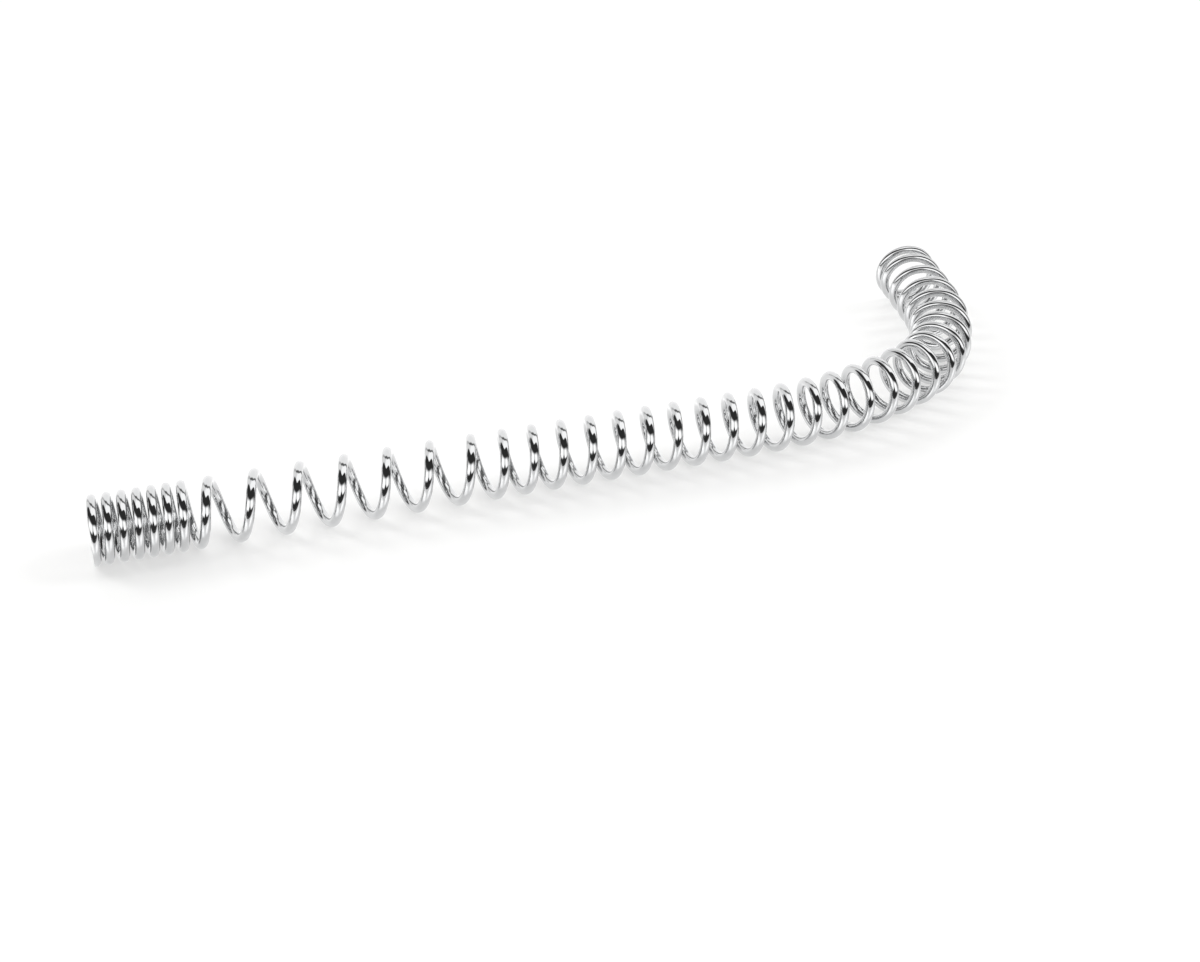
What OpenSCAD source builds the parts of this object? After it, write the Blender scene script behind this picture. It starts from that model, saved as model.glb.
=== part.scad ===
// Open coil spring that guides and lifts a spray hose over a sink.
// One chrome plated steel wire, wound left hand, lying on its side as it rests on a table.
// The long leg runs along X, the bend turns towards Y, the coil touches Z = 0.

/* [Wire and coil] */
// Outside diameter of the coil, from wire to wire
coil_d = 28.6; // [26:0.2:34]
// Diameter of the round spring wire
wire_d = 4; // [3:0.1:4.2]

/* [Turns] */
// Turns wound close together, at the end that seats on the riser
close_turns = 6.7; // [5:0.1:7.5]
// Turns wound wide apart, after the close ones
wide_turns = 6.5; // [5:0.1:7.5]
// Turns of the even straight run, up to where the bend sets in
run_turns = 7.7; // [5:0.1:8.5]
// Turns of the easy sweep ahead of the tight bend
sweep_turns = 3.4; // [2:0.1:4.5]
// Turns of the tight bend
tight_turns = 4.9; // [4.5:0.1:6]
// Turns of the straight short leg that ends at the spray head
leg_turns = 2.9; // [2:0.1:3.5]

/* [Pitch from turn to turn] */
// Pitch of the close turns
close_pitch = 5.8; // [5.2:0.1:7]
// Pitch where the wide turns begin
wide_pitch = 18.6; // [14:0.1:20]
// Pitch where the wide turns end
wide_end_pitch = 17.2; // [13:0.1:20]
// Pitch where the even run begins
run_pitch = 12.5; // [10:0.1:14]
// Pitch where the even run ends
run_end_pitch = 12.2; // [10:0.1:14]
// Pitch in the easy sweep
sweep_pitch = 12.5; // [10:0.1:15]
// Pitch in the tight bend
tight_pitch = 10.5; // [9.5:0.1:14]
// Pitch in the short leg
leg_pitch = 12.5; // [10:0.1:15]
// Pitch of the last turn, drawn in at the spray end
last_pitch = 5.6; // [5:0.1:10]

/* [Bend] */
// Radius of the easy sweep, at the coil's centre line
sweep_r = 164; // [140:1:240]
// Smallest radius of the tight bend, at the coil's centre line
tight_r = 53; // [48:0.5:75]
// Radius that the tight bend opens out to, before the short leg
exit_r = 98; // [80:1:150]

/* [Ground ends] */
// Pitch of the first half turn, laid down flat for its seat
seat_pitch = 3.4; // [3.4:0.1:4.5]
// Share of the wire's thickness that the grinding leaves at each tip
tip_share = 0.58; // [0.52:0.02:0.9]

/* [Hidden] */
// Facets: steps along one turn and sides around the wire
turn_steps = 16;
wire_sides = 9;

wire_r = wire_d / 2;
// Radius of the wire's centre line around the coil's axis
helix_r = coil_d / 2 - wire_r;

// Turns are counted from the first crest. The first tip lies just past the bottom, before it
tip_turns = 9 / turn_steps;
// Turns over which the pitch changes: after the seat and before the last turn, from the close
// turns to the wide ones, and from the wide turns to the even run
end_ease_turns = 0.5;
wide_ease_turns = 1.2;
run_ease_turns = 0.6;
// Turns over which the easy sweep, the tight bend and the short leg each set in
sweep_ease_turns = 5;
tight_ease_turns = 1;
leg_ease_turns = 1.5;
last_turns = 1.1;
// Turns before the end of the tight bend in which the pitch opens to the short leg's
opening_turns = 3;
opened_turns = 0.5;
// Turn count, before the first crest, at which the seat's flat pitch starts to rise
seat_rise_turns = 0.35;

// Turn counts at which the sections meet
t_wide = close_turns;
t_run = t_wide + wide_turns;
t_sweep = t_run + run_turns;
t_swept = t_sweep + sweep_ease_turns;
t_tight = t_swept + sweep_turns;
t_tightened = t_tight + tight_ease_turns;
t_exit = t_tightened + tight_turns;
t_leg = t_exit + leg_ease_turns;
t_tip = t_leg + leg_turns;
t_last = t_tip - last_turns;

// Axial advance in one turn, against the turn count
pitch_table = [
  [-tip_turns, seat_pitch],
  [-seat_rise_turns, seat_pitch],
  [-seat_rise_turns + end_ease_turns, close_pitch],
  [t_wide - wide_ease_turns / 2, close_pitch],
  [t_wide + wide_ease_turns / 2, wide_pitch],
  [t_run - run_ease_turns / 2, wide_end_pitch],
  [t_run + run_ease_turns / 2, run_pitch],
  [t_sweep, run_end_pitch],
  [t_swept, sweep_pitch],
  [t_tight, sweep_pitch],
  [t_tightened, tight_pitch],
  [t_exit - opening_turns, tight_pitch],
  [t_exit - opened_turns, leg_pitch],
  [t_last - end_ease_turns / 2, leg_pitch],
  [t_last + end_ease_turns / 2, last_pitch]
];

// Curvature of the coil's centre line, against the turn count
bend_table = [
  [t_sweep, 0],
  [t_swept, 1 / sweep_r],
  [t_tight, 1 / sweep_r],
  [t_tightened, 1 / tight_r],
  [t_exit, 1 / exit_r],
  [t_leg, 0]
];

steps = round((tip_turns + t_tip) * turn_steps);

function turn_at(i) = i / turn_steps - tip_turns;
function pitch_at(t) = lookup(t, pitch_table);
function bend_at(t) = lookup(t, bend_table);
// Advance and change of heading, in degrees, over the step that follows step i
function advance(i) = (pitch_at(turn_at(i)) + pitch_at(turn_at(i + 1))) / 2 / turn_steps;
function veer(i) = advance(i) * (bend_at(turn_at(i)) + bend_at(turn_at(i + 1))) / 2 * 180 / PI;

// Centre line of the coil: x, y and heading at each step, walked from the first tip
axis_line = [
  for (
    i = 0, x = 0, y = 0, h = 0;
    i <= steps;
    x = x + advance(i) * cos(h + veer(i) / 2),
    y = y + advance(i) * sin(h + veer(i) / 2),
    h = h + veer(i),
    i = i + 1
  ) [x, y, h]
];

// Directions at step i: along the coil's axis, out from the axis, and around the turn
function along(i) = [cos(axis_line[i][2]), sin(axis_line[i][2]), 0];
function outward(i) =
  let (w = 360 * turn_at(i), h = axis_line[i][2])
  [-sin(h) * sin(w), cos(h) * sin(w), cos(w)];
function around(i) =
  let (w = 360 * turn_at(i), h = axis_line[i][2])
  [-sin(h) * cos(w), cos(h) * cos(w), -sin(w)];

// Angle by which the wire climbs along the axis, steeper on the outside of a bend
function climb(i) =
  let (t = turn_at(i))
  atan2(pitch_at(t) * (1 - helix_r * sin(360 * t) * bend_at(t)), 2 * PI * helix_r);

function wire_centre(i) =
  [axis_line[i][0], axis_line[i][1], coil_d / 2] + helix_r * outward(i);

// Keeps a point on the inner side of the flats ground across the two ends of the coil
grind = (tip_share - 0.5) * wire_d;
function past_first(p) = axis_line[0][0] - grind - p[0];
function past_last(p) =
  (p - [axis_line[steps][0], axis_line[steps][1], 0]) * along(steps) - grind;
function ground(p, i) =
  i < turn_steps ? p + [max(0, past_first(p)), 0, 0]
  : i > steps - turn_steps ? p - max(0, past_last(p)) * along(steps)
  : p;

function wire_ring(i) =
  let (
    c = wire_centre(i),
    out = outward(i),
    side = cos(climb(i)) * along(i) - sin(climb(i)) * around(i)
  )
  [for (j = [0:wire_sides - 1])
    let (w = 360 * j / wire_sides) ground(c + wire_r * (cos(w) * out + sin(w) * side), i)];

wire_points = [for (i = [0:steps]) each wire_ring(i)];

function corner(i, j) = i * wire_sides + (j % wire_sides);

wire_faces = [
  for (i = [0:steps - 1], j = [0:wire_sides - 1])
    each [
      [corner(i, j), corner(i + 1, j), corner(i + 1, j + 1)],
      [corner(i, j), corner(i + 1, j + 1), corner(i, j + 1)]
    ],
  for (j = [1:wire_sides - 2])
    each [
      [corner(0, 0), corner(0, j), corner(0, j + 1)],
      [corner(steps, 0), corner(steps, j + 1), corner(steps, j)]
    ]
];

// Middle of the coil's outline in X and Y, which becomes the origin
xs = [for (p = wire_points) p[0]];
ys = [for (p = wire_points) p[1]];
mid_x = (min(xs) + max(xs)) / 2;
mid_y = (min(ys) + max(ys)) / 2;

module spring() {
  color("Silver")
    translate([-mid_x, -mid_y, 0])
      polyhedron(points = wire_points, faces = wire_faces, convexity = 12);
}

spring();
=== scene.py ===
import math

import bmesh
import bpy
import numpy as np
from mathutils import Matrix, Vector


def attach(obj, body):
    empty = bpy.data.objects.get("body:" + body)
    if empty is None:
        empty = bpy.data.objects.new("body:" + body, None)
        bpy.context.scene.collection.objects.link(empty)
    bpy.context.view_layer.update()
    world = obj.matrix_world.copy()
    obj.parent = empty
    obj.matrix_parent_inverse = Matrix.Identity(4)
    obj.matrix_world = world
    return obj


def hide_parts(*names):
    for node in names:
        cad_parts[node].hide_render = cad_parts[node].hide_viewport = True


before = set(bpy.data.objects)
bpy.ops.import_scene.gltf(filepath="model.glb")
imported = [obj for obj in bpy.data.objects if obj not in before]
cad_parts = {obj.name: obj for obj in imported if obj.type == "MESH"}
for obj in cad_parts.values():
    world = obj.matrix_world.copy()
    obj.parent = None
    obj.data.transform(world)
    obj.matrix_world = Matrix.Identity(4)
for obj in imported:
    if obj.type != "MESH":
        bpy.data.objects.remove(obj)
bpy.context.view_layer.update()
scene = bpy.context.scene

# Sizes of the coil, as in the part's source, in metres and in turns

COIL_D = 0.0286
WIRE_D = 0.004
WIRE_R = WIRE_D / 2
# Radius of the wire's centre line around the coil's axis
HELIX_R = COIL_D / 2 - WIRE_R

# Turns of each section, turns over which its pitch or its bend sets in, and turns from the
# first tip to the first crest
CLOSE_TURNS, WIDE_TURNS, RUN_TURNS = 6.7, 6.5, 7.7
SWEEP_EASE, SWEEP_TURNS, TIGHT_EASE, TIGHT_TURNS = 5, 3.4, 1, 4.9
LEG_EASE, LEG_TURNS, LAST_TURNS, TIP_TURNS = 1.5, 2.9, 1.1, 9 / 16
END_EASE, WIDE_EASE, RUN_EASE = 0.5, 1.2, 0.6
# Turns before the first crest at which the seat's pitch starts to rise, and turns before the
# end of the tight bend at which its pitch starts and stops opening to the leg's
SEAT_RISE, OPENING, OPENED = 0.35, 3, 0.5

# Turn counts at which the sections meet, from the first crest on
T_WIDE = CLOSE_TURNS
T_RUN = T_WIDE + WIDE_TURNS
T_SWEEP = T_RUN + RUN_TURNS
T_SWEPT = T_SWEEP + SWEEP_EASE
T_TIGHT = T_SWEPT + SWEEP_TURNS
T_TIGHTENED = T_TIGHT + TIGHT_EASE
T_EXIT = T_TIGHTENED + TIGHT_TURNS
T_LEG = T_EXIT + LEG_EASE
T_TIP = T_LEG + LEG_TURNS
T_LAST = T_TIP - LAST_TURNS

SEAT_PITCH, CLOSE_PITCH = 0.0034, 0.0058
WIDE_PITCH, WIDE_END_PITCH = 0.0186, 0.0172
RUN_PITCH, RUN_END_PITCH = 0.0125, 0.0122
SWEEP_PITCH, TIGHT_PITCH, LEG_PITCH, LAST_PITCH = 0.0125, 0.0105, 0.0125, 0.0056
SWEEP_R, TIGHT_R, EXIT_R = 0.164, 0.053, 0.098
# Share of the wire's thickness that the grinding leaves at each tip
TIP_SHARE = 0.58
GRIND = (TIP_SHARE - 0.5) * WIRE_D

# Axial advance in one turn, and curvature of the centre line, against the turn count
PITCH_TABLE = np.array([
    (-TIP_TURNS, SEAT_PITCH),
    (-SEAT_RISE, SEAT_PITCH),
    (-SEAT_RISE + END_EASE, CLOSE_PITCH),
    (T_WIDE - WIDE_EASE / 2, CLOSE_PITCH),
    (T_WIDE + WIDE_EASE / 2, WIDE_PITCH),
    (T_RUN - RUN_EASE / 2, WIDE_END_PITCH),
    (T_RUN + RUN_EASE / 2, RUN_PITCH),
    (T_SWEEP, RUN_END_PITCH),
    (T_SWEPT, SWEEP_PITCH),
    (T_TIGHT, SWEEP_PITCH),
    (T_TIGHTENED, TIGHT_PITCH),
    (T_EXIT - OPENING, TIGHT_PITCH),
    (T_EXIT - OPENED, LEG_PITCH),
    (T_LAST - END_EASE / 2, LEG_PITCH),
    (T_LAST + END_EASE / 2, LAST_PITCH),
])
BEND_TABLE = np.array([
    (T_SWEEP, 0),
    (T_SWEPT, 1 / SWEEP_R),
    (T_TIGHT, 1 / SWEEP_R),
    (T_TIGHTENED, 1 / TIGHT_R),
    (T_EXIT, 1 / EXIT_R),
    (T_LEG, 0),
])

# Facets of the part's source: steps in a turn and sides around the wire
SOURCE_STEPS, SOURCE_SIDES = 16, 9


def wire_rings(turn_steps, sides):
    """For each step along the wire, the ring of points around it and its centre, then the
    direction, x and y of the coil's axis there."""
    steps = round((TIP_TURNS + T_TIP) * turn_steps)
    t = np.arange(steps + 1) / turn_steps - TIP_TURNS
    pitch = np.interp(t, PITCH_TABLE[:, 0], PITCH_TABLE[:, 1])
    bend = np.interp(t, BEND_TABLE[:, 0], BEND_TABLE[:, 1])
    advance = (pitch[1:] + pitch[:-1]) / 2 / turn_steps
    veer = advance * (bend[1:] + bend[:-1]) / 2
    head = np.concatenate([[0], np.cumsum(veer)])
    middle = head[:-1] + veer / 2
    x = np.concatenate([[0], np.cumsum(advance * np.cos(middle))])
    y = np.concatenate([[0], np.cumsum(advance * np.sin(middle))])

    # Directions along the coil's axis, out from it, and around the turn
    w = 2 * np.pi * t
    zero = np.zeros_like(t)
    along = np.stack([np.cos(head), np.sin(head), zero], 1)
    out = np.stack([-np.sin(head) * np.sin(w), np.cos(head) * np.sin(w), np.cos(w)], 1)
    around = np.stack([-np.sin(head) * np.cos(w), np.cos(head) * np.cos(w), -np.sin(w)], 1)

    # The wire's section stands square to its climb, which is steeper on the outside of a bend
    climb = np.arctan2(pitch * (1 - HELIX_R * np.sin(w) * bend), 2 * np.pi * HELIX_R)
    side = np.cos(climb)[:, None] * along - np.sin(climb)[:, None] * around
    centre = np.stack([x, y, zero + COIL_D / 2], 1) + HELIX_R * out
    a = 2 * np.pi * np.arange(sides) / sides
    rings = centre[:, None] + WIRE_R * (
        np.cos(a)[None, :, None] * out[:, None] + np.sin(a)[None, :, None] * side[:, None]
    )
    return rings, centre, along, x, y


def plan_middle():
    """Middle of the source's faceted and ground outline in X and Y, which is the origin."""
    rings, _, along, x, y = wire_rings(SOURCE_STEPS, SOURCE_SIDES)
    first, last = rings[:SOURCE_STEPS], rings[-SOURCE_STEPS:]
    first[..., 0] = np.maximum(first[..., 0], x[0] - GRIND)
    over = (last - np.array([x[-1], y[-1], 0])) @ along[-1] - GRIND
    last -= np.maximum(over, 0)[..., None] * along[-1]
    flat = rings.reshape(-1, 3)
    return np.array([*(flat[:, :2].min(0) + flat[:, :2].max(0)) / 2, 0])


MIDDLE = plan_middle()


# Camera, placed as the photograph was taken

CAMERA_AT = Vector((-0.2123, -0.7682, 0.4586))
VIEW_HEADING = math.radians(73.260)
VIEW_DOWN = math.radians(31.609)
VIEW_ROLL = math.radians(-0.583)
LENS = 62.807


def make_camera():
    ahead = Vector((math.cos(VIEW_HEADING), math.sin(VIEW_HEADING), 0))
    level = Vector((math.sin(VIEW_HEADING), -math.cos(VIEW_HEADING), 0))
    forward = ahead * math.cos(VIEW_DOWN) - Vector((0, 0, math.sin(VIEW_DOWN)))
    up = ahead * math.sin(VIEW_DOWN) + Vector((0, 0, math.cos(VIEW_DOWN)))
    right = level * math.cos(VIEW_ROLL) + up * math.sin(VIEW_ROLL)
    top = up * math.cos(VIEW_ROLL) - level * math.sin(VIEW_ROLL)
    data = bpy.data.cameras.new("camera")
    data.lens = LENS
    data.sensor_width = 36
    data.sensor_fit = "HORIZONTAL"
    data.clip_start, data.clip_end = 0.01, 50
    cam = bpy.data.objects.new("camera", data)
    turn = Matrix((right, top, -forward)).transposed().to_4x4()
    cam.matrix_world = Matrix.Translation(CAMERA_AT) @ turn
    scene.collection.objects.link(cam)
    scene.camera = cam


# Node helpers

def new_material(name):
    mat = bpy.data.materials.new(name)
    mat.use_nodes = True
    nodes = mat.node_tree.nodes
    return mat, nodes, mat.node_tree.links, nodes["Principled BSDF"]


def math_node(nodes, links, operation, *values):
    node = nodes.new("ShaderNodeMath")
    node.operation = operation
    for i, v in enumerate(values):
        if isinstance(v, (int, float)):
            node.inputs[i].default_value = v
        else:
            links.new(v, node.inputs[i])
    return node.outputs[0]


def ramp(nodes, links, source, low, high, to_low=0.0, to_high=1.0):
    node = nodes.new("ShaderNodeMapRange")
    node.interpolation_type = "SMOOTHSTEP"
    for name, v in (("From Min", low), ("From Max", high), ("To Min", to_low), ("To Max", to_high)):
        node.inputs[name].default_value = v
    links.new(source, node.inputs["Value"])
    return node.outputs[0]


def stretched(nodes, links, place, scale):
    node = nodes.new("ShaderNodeMapping")
    node.inputs["Scale"].default_value = scale
    links.new(place, node.inputs["Vector"])
    return node.outputs[0]


def noise(nodes, links, place, scale, detail):
    node = nodes.new("ShaderNodeTexNoise")
    node.inputs["Scale"].default_value = scale
    node.inputs["Detail"].default_value = detail
    links.new(place, node.inputs["Vector"])
    return node.outputs["Fac"]


def add_bump(nodes, links, bsdf, height, strength, distance):
    node = nodes.new("ShaderNodeBump")
    node.inputs["Strength"].default_value = strength
    node.inputs["Distance"].default_value = distance
    links.new(height, node.inputs["Height"])
    links.new(node.outputs[0], bsdf.inputs["Normal"])


def mix_shaders(nodes, links, share, first, second):
    node = nodes.new("ShaderNodeMixShader")
    for source, socket in zip((share, first, second), node.inputs):
        links.new(source, socket)
    return node.outputs[0]


# Chrome plating: a mirror with a slight haze and faint drawing lines along the wire

CHROME_TONE = (0.55, 0.554, 0.558, 1)
# Noise cells once around the wire, and in each metre along it
DRAWN_LINES = (60, 25, 1)
DRAWN_STRENGTH, DRAWN_DEPTH = 0.04, 0.0002
# The haze: noise cells in each metre, the noise that it spans and its roughness there
HAZE_CELLS, HAZE_SPAN, HAZE_ROUGH = 260, (0.35, 0.75), (0.03, 0.08)


def chrome_material():
    mat, nodes, links, bsdf = new_material("chrome_wire")
    bsdf.inputs["Base Color"].default_value = CHROME_TONE
    bsdf.inputs["Metallic"].default_value = 1.0
    unrolled = nodes.new("ShaderNodeUVMap")
    unrolled.uv_map = "wire"
    place = stretched(nodes, links, unrolled.outputs[0], DRAWN_LINES)
    lines = noise(nodes, links, place, scale=1, detail=4)
    add_bump(nodes, links, bsdf, lines, DRAWN_STRENGTH, DRAWN_DEPTH)
    coords = nodes.new("ShaderNodeTexCoord")
    haze = noise(nodes, links, coords.outputs["Object"], scale=HAZE_CELLS, detail=3)
    rough = ramp(nodes, links, haze, *HAZE_SPAN, *HAZE_ROUGH)
    links.new(rough, bsdf.inputs["Roughness"])
    return mat


# Ground flats and cut tips: plated over, with the wheel's lines left in

GROUND_TONE = (0.72, 0.72, 0.71, 1)
# Noise cells in each metre, finest from bottom to top, so that the lines lie level
WHEEL_LINES = (900, 900, 9000)
WHEEL_STRENGTH, WHEEL_DEPTH = 0.25, 0.00005
WHEEL_SPAN, WHEEL_ROUGH = (0.3, 0.7), (0.22, 0.4)


def ground_material():
    mat, nodes, links, bsdf = new_material("ground_face")
    bsdf.inputs["Base Color"].default_value = GROUND_TONE
    bsdf.inputs["Metallic"].default_value = 1.0
    coords = nodes.new("ShaderNodeTexCoord")
    place = stretched(nodes, links, coords.outputs["Object"], WHEEL_LINES)
    lines = noise(nodes, links, place, scale=1, detail=2)
    add_bump(nodes, links, bsdf, lines, WHEEL_STRENGTH, WHEEL_DEPTH)
    rough = ramp(nodes, links, lines, *WHEEL_SPAN, *WHEEL_ROUGH)
    links.new(rough, bsdf.inputs["Roughness"])
    return mat


# The spring: one round wire swept along its coil, with both ends ground flat

TURN_STEPS = 64
WIRE_SIDES = 24
# Slot of the ground faces' material, after the chrome's
CUT_FACE = 1
SHARP_EDGE = math.radians(30)


def make_spring():
    rings, centre, along, x, y = wire_rings(TURN_STEPS, WIRE_SIDES)
    count, sides = rings.shape[:2]
    verts = (rings - MIDDLE).reshape(-1, 3)
    i, j = np.meshgrid(np.arange(count - 1), np.arange(sides), indexing="ij")
    k = (j + 1) % sides
    quads = np.stack([i * sides + j, i * sides + k, (i + 1) * sides + k, (i + 1) * sides + j], -1)
    faces = quads.reshape(-1, 4).tolist()
    faces.append(list(range(sides))[::-1])
    faces.append([(count - 1) * sides + n for n in range(sides)])
    mesh = bpy.data.meshes.new("spring_wire")
    mesh.from_pydata(verts.tolist(), [], faces)

    # The wire unrolled: once around it in U, metres along it in V
    run = np.concatenate([[0], np.cumsum(np.linalg.norm(np.diff(centre, axis=0), axis=1))])
    uv = mesh.uv_layers.new(name="wire")
    u = np.stack([j, j + 1, j + 1, j], -1).reshape(-1) / sides
    v = run[np.stack([i, i, i + 1, i + 1], -1).reshape(-1)]
    caps = np.zeros((2 * sides, 2))
    uv.data.foreach_set("uv", np.concatenate([np.stack([u, v], 1), caps]).reshape(-1))
    mesh.materials.append(chrome_material())
    mesh.materials.append(ground_material())

    bm = bmesh.new()
    bm.from_mesh(mesh)
    bm.faces.ensure_lookup_table()
    for cap in bm.faces[-2:]:
        cap.material_index = CUT_FACE
    first = Vector((x[0] - GRIND, y[0], 0)) - Vector(MIDDLE)
    last = Vector((x[-1], y[-1], 0)) + GRIND * Vector(along[-1]) - Vector(MIDDLE)
    for point, normal in ((first, Vector((-1, 0, 0))), (last, Vector(along[-1]))):
        cut = bmesh.ops.bisect_plane(
            bm,
            geom=bm.verts[:] + bm.edges[:] + bm.faces[:],
            dist=1e-7,
            plane_co=point,
            plane_no=normal,
            clear_outer=True,
        )
        rim = [e for e in cut["geom_cut"] if isinstance(e, bmesh.types.BMEdge)]
        filled = bmesh.ops.triangle_fill(bm, edges=rim, use_beauty=True, normal=normal)
        for face in filled["geom"]:
            if isinstance(face, bmesh.types.BMFace):
                face.material_index = CUT_FACE
    bmesh.ops.recalc_face_normals(bm, faces=bm.faces)
    for face in bm.faces:
        face.smooth = True
    for edge in bm.edges:
        if len(edge.link_faces) == 2 and edge.calc_face_angle() > SHARP_EDGE:
            edge.smooth = False
    bm.to_mesh(mesh)
    bm.free()
    spring = bpy.data.objects.new("spring_wire", mesh)
    scene.collection.objects.link(spring)
    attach(spring, "root")
    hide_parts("spring")


# The table, which is white in the picture

FLOOR_HALF = 6.0
# How far the table reaches towards the camera and how softly it ends. The chrome mirrors a
# dark room beyond it, and the camera sees the table go on
TABLE_EDGE, EDGE_SOFT = 0.235, 0.04
TABLE_TONE = (0.97, 0.97, 0.965, 1)
MIRRORED_TABLE, MIRRORED_BEYOND = 0.98, 0.05
# Roughness to the camera, and where the chrome mirrors the table
TABLE_ROUGH, MIRRORED_ROUGH = 0.4, 0.18
TABLE_SPECULAR = 0.8
# Share and roughness of the clear gloss that the table adds where the chrome mirrors it
TABLE_GLOSS, GLOSS_ROUGH = 0.2, 0.16
# Share of the table that stays white in the picture, so that its shadows are faint, and
# how bright that share is
TABLE_WHITE, WHITE_GLOW = 0.5, 1.03
# How much brighter the table and the room are in the chrome than where they light a thing
MIRRORED_GAIN = 0.2


def floor_material():
    mat, nodes, links, bsdf = new_material("floor")
    path = nodes.new("ShaderNodeLightPath")
    seen, mirrored = path.outputs["Is Camera Ray"], path.outputs["Is Glossy Ray"]

    def calc(operation, *values):
        return math_node(nodes, links, operation, *values)

    place = nodes.new("ShaderNodeTexCoord")
    reach = nodes.new("ShaderNodeVectorMath")
    reach.operation = "DOT_PRODUCT"
    reach.inputs[1].default_value = (-math.cos(VIEW_HEADING), -math.sin(VIEW_HEADING), 0)
    links.new(place.outputs["Object"], reach.inputs[0])
    ends = (TABLE_EDGE - EDGE_SOFT, TABLE_EDGE + EDGE_SOFT, MIRRORED_TABLE, MIRRORED_BEYOND)
    tone = nodes.new("ShaderNodeMix")
    tone.data_type = "RGBA"
    tone.inputs["A"].default_value = TABLE_TONE
    links.new(ramp(nodes, links, reach.outputs["Value"], *ends), tone.inputs["B"])
    links.new(mirrored, tone.inputs["Factor"])
    links.new(tone.outputs["Result"], bsdf.inputs["Base Color"])
    rough = calc("MULTIPLY_ADD", mirrored, MIRRORED_ROUGH - TABLE_ROUGH, TABLE_ROUGH)
    links.new(rough, bsdf.inputs["Roughness"])
    bsdf.inputs["Specular IOR Level"].default_value = TABLE_SPECULAR

    gloss = nodes.new("ShaderNodeBsdfGlossy")
    gloss.inputs["Color"].default_value = (1, 1, 1, 1)
    gloss.inputs["Roughness"].default_value = GLOSS_ROUGH
    gloss_share = calc("MULTIPLY", mirrored, TABLE_GLOSS)
    table = mix_shaders(nodes, links, gloss_share, bsdf.outputs[0], gloss.outputs[0])

    white = nodes.new("ShaderNodeEmission")
    links.new(tone.outputs["Result"], white.inputs["Color"])
    glow = calc("MULTIPLY_ADD", mirrored, MIRRORED_GAIN / TABLE_WHITE, WHITE_GLOW)
    links.new(glow, white.inputs["Strength"])
    white_share = calc("MULTIPLY", calc("MAXIMUM", seen, mirrored), TABLE_WHITE)
    table = mix_shaders(nodes, links, white_share, table, white.outputs[0])
    links.new(table, nodes["Material Output"].inputs["Surface"])
    return mat


def make_floor():
    mesh = bpy.data.meshes.new("floor")
    corners = ((-1, -1), (1, -1), (1, 1), (-1, 1))
    verts = [(x * FLOOR_HALF, y * FLOOR_HALF, 0) for x, y in corners]
    mesh.from_pydata(verts, [], [(0, 1, 2, 3)])
    mesh.materials.append(floor_material())
    floor = bpy.data.objects.new("floor", mesh)
    scene.collection.objects.link(floor)


# Soft suns from the left and the right wall, which lay the strands' shadows on the table:
# azimuth from the camera's side and height, both in degrees, and strength

SUNS = (("left_sun", -108, 38, 1.3), ("right_sun", 102, 38, 0.9))
SUN_SPREAD = math.radians(24)


def make_suns():
    for name, az, height, strength in SUNS:
        data = bpy.data.lights.new(name, "SUN")
        data.energy = strength
        data.angle = SUN_SPREAD
        sun = bpy.data.objects.new(name, data)
        turn = VIEW_HEADING + math.pi + math.radians(az)
        level = math.cos(math.radians(height))
        up = math.sin(math.radians(height))
        towards = Vector((math.cos(turn) * level, math.sin(turn) * level, up))
        sun.rotation_euler = towards.to_track_quat("Z", "Y").to_euler()
        sun.visible_glossy = False
        scene.collection.objects.link(sun)


# The room that the chrome mirrors, by azimuth from the camera's side and height above the
# table, both in degrees. Two bright lamps in one wide softbox hang over the camera, a dark
# arch runs round it, and pale walls and the paper backdrop close the far side. An edge is
# the place where a light ends and how far to each side of it the light fades.

ROOM_TONE = 0.035
LAMPS = ((-100, -22), (18, 64))
LAMP_SOFT = 4
# Light that the lamps add to the softbox, and more where they are mirrored a second time
LAMP_LIGHT, LAMP_GLARE = 0.68, 2.5
# The world counts as one step of the ray's depth, so a second mirroring is its third step
SECOND_MIRRORING = 2.5

BOX_LIGHT = 0.92
BOX_MIDDLE, BOX_LEFT, BOX_RIGHT, BOX_HIGH = -3, 98, 93, 49.5
BOX_ROUND, BOX_EDGE = 2, (0.93, 0.2)
# The softbox's foot is a bow, highest in the middle, with a further rise there
BOX_FOOT, BOX_FOOT_WIDE, BOX_FOOT_LEAST, BOX_FOOT_SOFT = 18, 88, 1, 4
BOX_FOOT_RISE, BOX_RISE_EDGE = 10, (17, 8)

ARCH_LEFT, ARCH_RIGHT, ARCH_HIGH = 118, 110, 79.5
ARCH_ROUND, ARCH_EDGE = 3.5, (1, 0.08)

WALL_LIGHT = 1.35
LEFT_LIGHT, LEFT_EDGE, LEFT_TOP = 0.95, (-70, 40), (70, 8)
LOW_LIGHT, LOW_EDGE, LOW_TOP = 0.6, (-90, 20), (42, 8)

# The backdrop and the dark frame round it, from the middle of the far side
PAPER_LIGHT, PAPER_WIDE, PAPER_HIGH = 1.1, 39.5, 51.5
FRAME_LIGHT, FRAME_WIDE, FRAME_HIGH = 0.1, 46, 64
PAPER_ROUND, PAPER_EDGE = 4, (1, 0.2)


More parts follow.
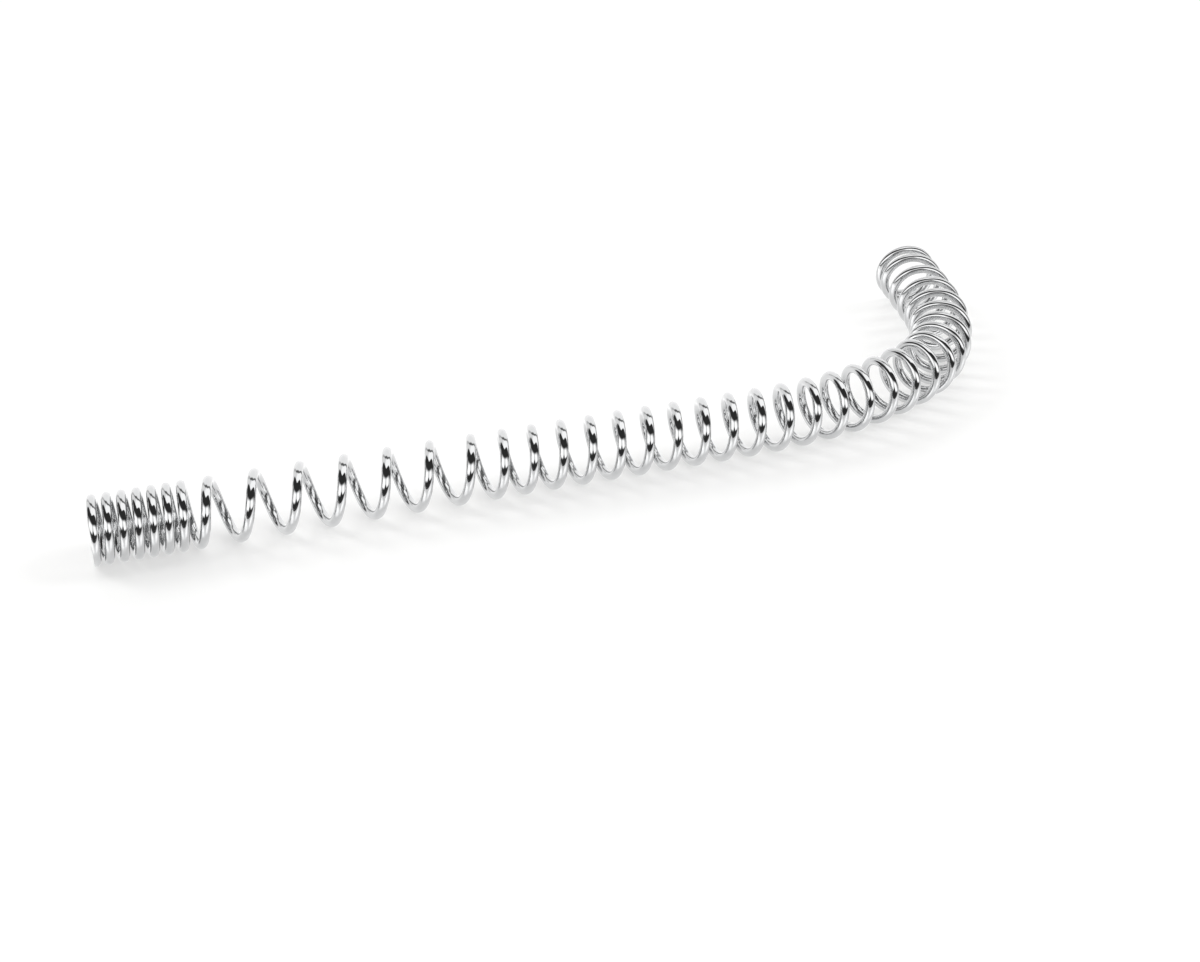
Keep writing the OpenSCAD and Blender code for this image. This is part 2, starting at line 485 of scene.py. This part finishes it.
def make_world():
    world = bpy.data.worlds.new("studio")
    scene.world = world
    world.use_nodes = True
    nodes, links = world.node_tree.nodes, world.node_tree.links
    nodes.clear()

    def calc(operation, *values):
        return math_node(nodes, links, operation, *values)

    def chain(operation, whole, *parts):
        for part in parts:
            whole = calc(operation, whole, part)
        return whole

    def product(*parts):
        return chain("MULTIPLY", *parts)

    def total(*parts):
        return chain("ADD", *parts)

    def above(source, at, soft):
        return ramp(nodes, links, source, at - soft, at + soft, 0, 1)

    def below(source, at, soft):
        return ramp(nodes, links, source, at - soft, at + soft, 1, 0)

    coords = nodes.new("ShaderNodeTexCoord")
    turned = nodes.new("ShaderNodeVectorRotate")
    turned.rotation_type = "Z_AXIS"
    # Turns the room so that its -Y side lies behind the camera
    turned.inputs["Angle"].default_value = math.pi / 2 - VIEW_HEADING
    links.new(coords.outputs["Generated"], turned.inputs["Vector"])
    split = nodes.new("ShaderNodeSeparateXYZ")
    links.new(turned.outputs[0], split.inputs[0])
    towards = calc("MULTIPLY", split.outputs["Y"], -1.0)
    az = calc("DEGREES", calc("ARCTAN2", split.outputs["X"], towards))
    el = calc("DEGREES", calc("ARCSINE", split.outputs["Z"]))
    to_right = calc("MAXIMUM", az, 0.0)
    to_left = calc("MAXIMUM", calc("MULTIPLY", az, -1.0), 0.0)
    from_camera = calc("ABSOLUTE", az)
    from_backdrop = calc("SUBTRACT", 180.0, from_camera)
    up = calc("MAXIMUM", el, 0.0)

    def sideways(left, right):
        return calc("ADD", calc("DIVIDE", to_right, right), calc("DIVIDE", to_left, left))

    def oval(across, high, power):
        upwards = calc("DIVIDE", up, high)
        return calc("ADD", calc("POWER", across, power), calc("POWER", upwards, power))

    from_middle = calc("ABSOLUTE", calc("SUBTRACT", az, BOX_MIDDLE))
    bow = calc("POWER", calc("DIVIDE", from_middle, BOX_FOOT_WIDE), 2)
    rise = product(below(from_camera, *BOX_RISE_EDGE), BOX_FOOT_RISE)
    foot = calc("MAXIMUM", total(product(bow, -BOX_FOOT), rise, BOX_FOOT), BOX_FOOT_LEAST)
    path = nodes.new("ShaderNodeLightPath")
    deep = calc("GREATER_THAN", path.outputs["Ray Depth"], SECOND_MIRRORING)
    again = product(path.outputs["Is Glossy Ray"], deep)
    glare = calc("MULTIPLY_ADD", again, LAMP_GLARE, LAMP_LIGHT)
    lamps = [product(above(az, low, LAMP_SOFT), below(az, high, LAMP_SOFT)) for low, high in LAMPS]
    box = below(oval(sideways(BOX_LEFT, BOX_RIGHT), BOX_HIGH, BOX_ROUND), *BOX_EDGE)
    over_foot = above(calc("SUBTRACT", el, foot), 0, BOX_FOOT_SOFT)
    softbox = product(box, over_foot, total(product(total(*lamps), glare), BOX_LIGHT))

    past_arch = above(oval(sideways(ARCH_LEFT, ARCH_RIGHT), ARCH_HIGH, ARCH_ROUND), *ARCH_EDGE)
    rim = oval(calc("DIVIDE", from_backdrop, FRAME_WIDE), FRAME_HIGH, PAPER_ROUND)
    paper = oval(calc("DIVIDE", from_backdrop, PAPER_WIDE), PAPER_HIGH, PAPER_ROUND)
    dim = product(below(az, *LEFT_EDGE), below(el, *LEFT_TOP), WALL_LIGHT - LEFT_LIGHT)
    walls = total(
        product(above(rim, *PAPER_EDGE), calc("SUBTRACT", WALL_LIGHT - FRAME_LIGHT, dim)),
        product(below(paper, *PAPER_EDGE), PAPER_LIGHT - FRAME_LIGHT),
        FRAME_LIGHT,
    )
    low = product(below(el, *LOW_TOP), below(az, *LOW_EDGE), LOW_LIGHT)
    walls = calc("MAXIMUM", walls, low)
    room = total(softbox, product(past_arch, walls), ROOM_TONE)
    gain = calc("MULTIPLY_ADD", path.outputs["Is Glossy Ray"], MIRRORED_GAIN, 1.0)

    studio = nodes.new("ShaderNodeBackground")
    studio.inputs["Color"].default_value = (1, 1, 1, 1)
    links.new(product(room, gain), studio.inputs["Strength"])
    white = nodes.new("ShaderNodeBackground")
    white.inputs["Color"].default_value = (1, 1, 1, 1)
    white.inputs["Strength"].default_value = 1.0
    seen = path.outputs["Is Camera Ray"]
    out = nodes.new("ShaderNodeOutputWorld")
    shown = mix_shaders(nodes, links, seen, studio.outputs[0], white.outputs[0])
    links.new(shown, out.inputs["Surface"])


make_camera()
make_spring()
make_floor()
make_suns()
make_world()

scene.view_settings.view_transform = "Standard"
